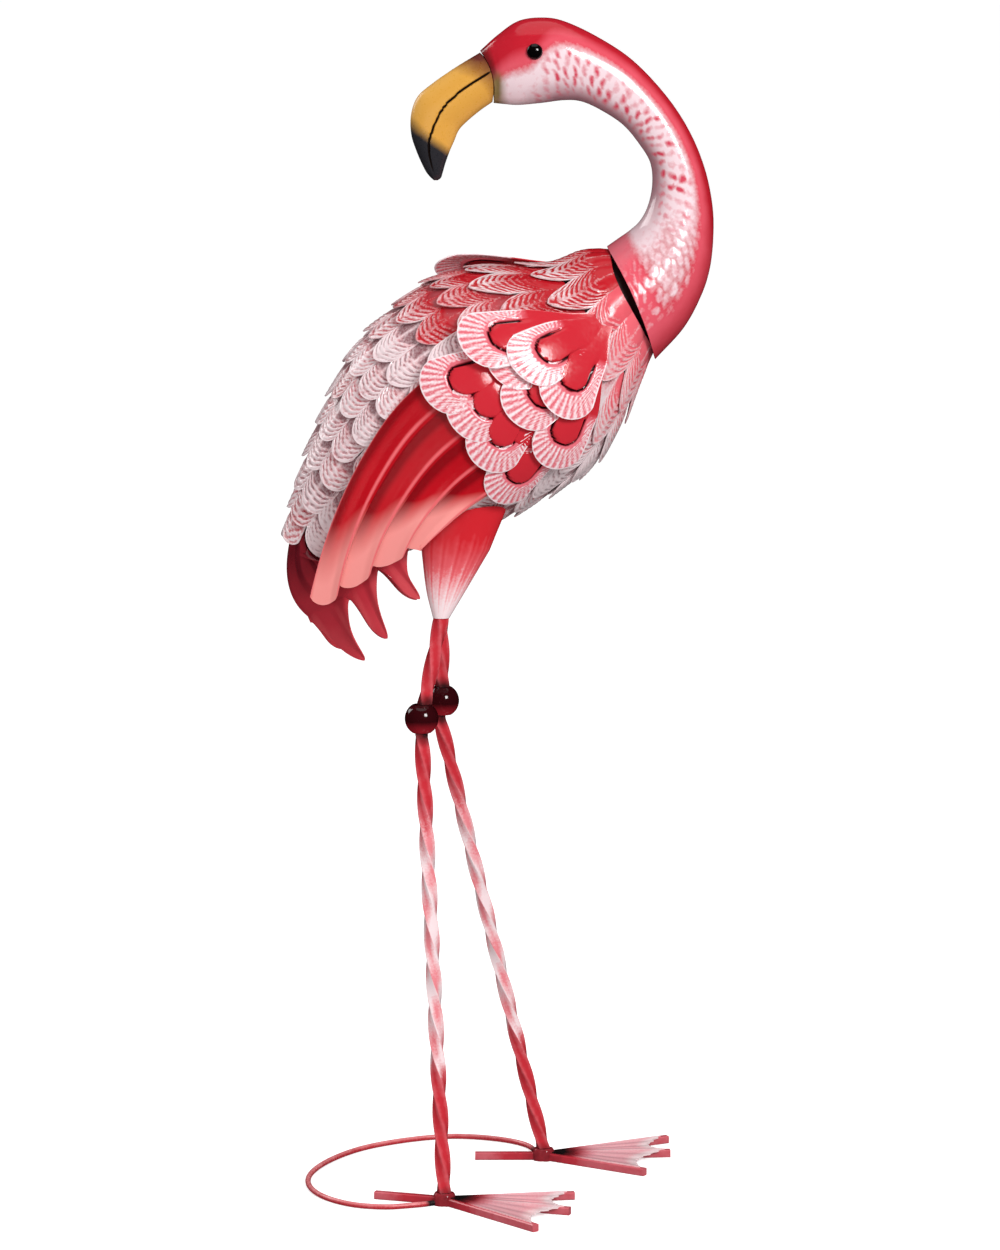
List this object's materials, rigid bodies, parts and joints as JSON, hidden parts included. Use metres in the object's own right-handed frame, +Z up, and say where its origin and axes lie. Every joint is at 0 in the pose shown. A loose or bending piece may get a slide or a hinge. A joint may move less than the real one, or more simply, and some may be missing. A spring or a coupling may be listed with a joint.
{
  "type": "flamingo garden sculpture",
  "caption": "Standing flamingo in painted sheet steel with overlapping feathers, on twisted bar legs with webbed feet and a steadying wire ring.",
  "frame": {"origin": "ground point under the middle of the whole bird's box", "axes": "+Z up, +X the way the chest and toes point, +Y to the bird's left"},
  "size_m": [0.3294, 0.297, 0.9],
  "materials": {
    "red_enamel": "gloss red lacquer airbrushed to white-pink",
    "feather_enamel": "red and pink lacquer, dry-brushed white on pressed barbs",
    "covert_enamel": "red lacquer with white-pink ribbed edges",
    "shell_enamel": "dark red lacquer in the shade of the feathers",
    "beak_enamel": "yellow lacquer airbrushed to black at the tip",
    "eye_gloss": "black gloss bead",
    "tail_enamel": "deep red gloss lacquer",
    "thigh_enamel": "red lacquer brushed to white at the foot",
    "leg_enamel": "red lacquer dry-brushed pink-white along the twist",
    "knee_enamel": "dark red gloss lacquer",
    "foot_enamel": "pink lacquer, sooty at the ankle",
    "ring_enamel": "thin red lacquer"
  },
  "bodies": {
    "root": {"body_shell": "shell_enamel", "neck": "red_enamel", "beak": "beak_enamel", "eye_right": "eye_gloss", "eye_left": "eye_gloss", "feather_row_01": "feather_enamel", "feather_row_02": "feather_enamel", "feather_row_03": "feather_enamel", "feather_row_04": "feather_enamel", "feather_row_05": "feather_enamel", "feather_row_06": "feather_enamel", "feather_row_07": "feather_enamel", "feather_row_08": "feather_enamel", "feather_row_09": "feather_enamel", "feather_row_10": "feather_enamel", "feather_row_11": "feather_enamel", "feather_row_12": "feather_enamel", "wing_right": "red_enamel", "wing_left": "red_enamel", "coverts_front_right": "covert_enamel", "coverts_middle_right": "covert_enamel", "coverts_rear_right": "covert_enamel", "coverts_lower_right": "covert_enamel", "coverts_front_left": "covert_enamel", "coverts_middle_left": "covert_enamel", "coverts_rear_left": "covert_enamel", "coverts_lower_left": "covert_enamel", "tail": "tail_enamel", "thigh_right": "thigh_enamel", "thigh_left": "thigh_enamel", "upper_leg_right": "leg_enamel", "knee_ball_right": "knee_enamel", "lower_leg_right": "leg_enamel", "foot_right": "foot_enamel", "upper_leg_left": "leg_enamel", "knee_ball_left": "knee_enamel", "lower_leg_left": "leg_enamel", "foot_left": "foot_enamel", "ground_ring": "ring_enamel"}
  },
  "joints": []
}
